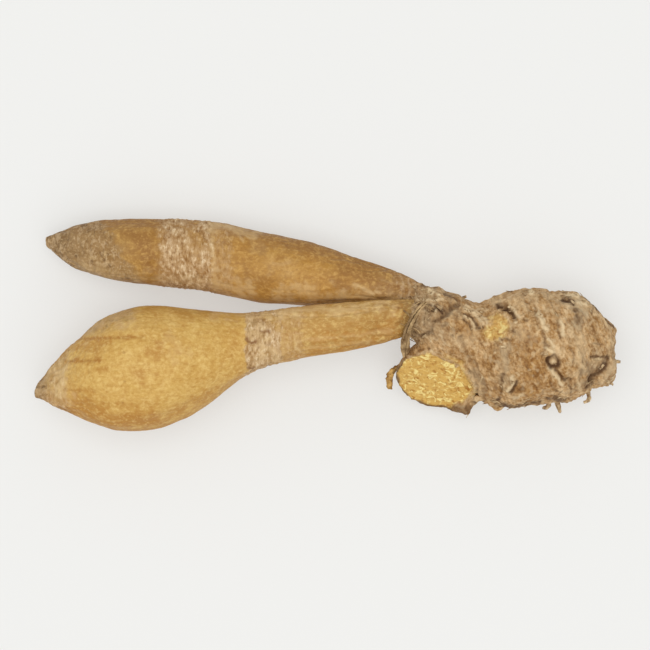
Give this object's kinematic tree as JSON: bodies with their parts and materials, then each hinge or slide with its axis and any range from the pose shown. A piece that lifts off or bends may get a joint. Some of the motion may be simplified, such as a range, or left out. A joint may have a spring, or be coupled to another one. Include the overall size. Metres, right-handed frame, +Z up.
{
  "type": "fingerroot",
  "caption": "Fresh fingerroot: short ringed rhizome with a cut side shoot, dried rootlets and swollen finger-like storage roots, lying on its side.",
  "frame": {"origin": "middle of the footprint, on the surface it lies on", "axes": "+X from the tips of the storage roots to the blunt end of the rhizome, +Z up from the surface it lies on"},
  "size_m": [0.0943, 0.0342, 0.0197],
  "materials": {
    "rhizome_skin": "matte",
    "finger_skin": "satin",
    "slim_finger_skin": "satin",
    "rootlet_fibre": "matte",
    "dry_skin": "matte"
  },
  "bodies": {
    "root": {"rhizome": "rhizome_skin", "bulb_finger": "finger_skin", "slim_finger": "slim_finger_skin", "skin_flake": "dry_skin", "rootlet_lower_hook": "rootlet_fibre", "rootlet_lower_stub": "rootlet_fibre", "rootlet_lower_curl": "rootlet_fibre", "rootlet_end_upper": "rootlet_fibre", "rootlet_end_lower": "rootlet_fibre", "rootlet_under_shoot": "rootlet_fibre", "rootlet_far_side": "rootlet_fibre", "rootlet_collar": "rootlet_fibre", "rootlet_neck_tip": "rootlet_fibre"}
  },
  "joints": []
}
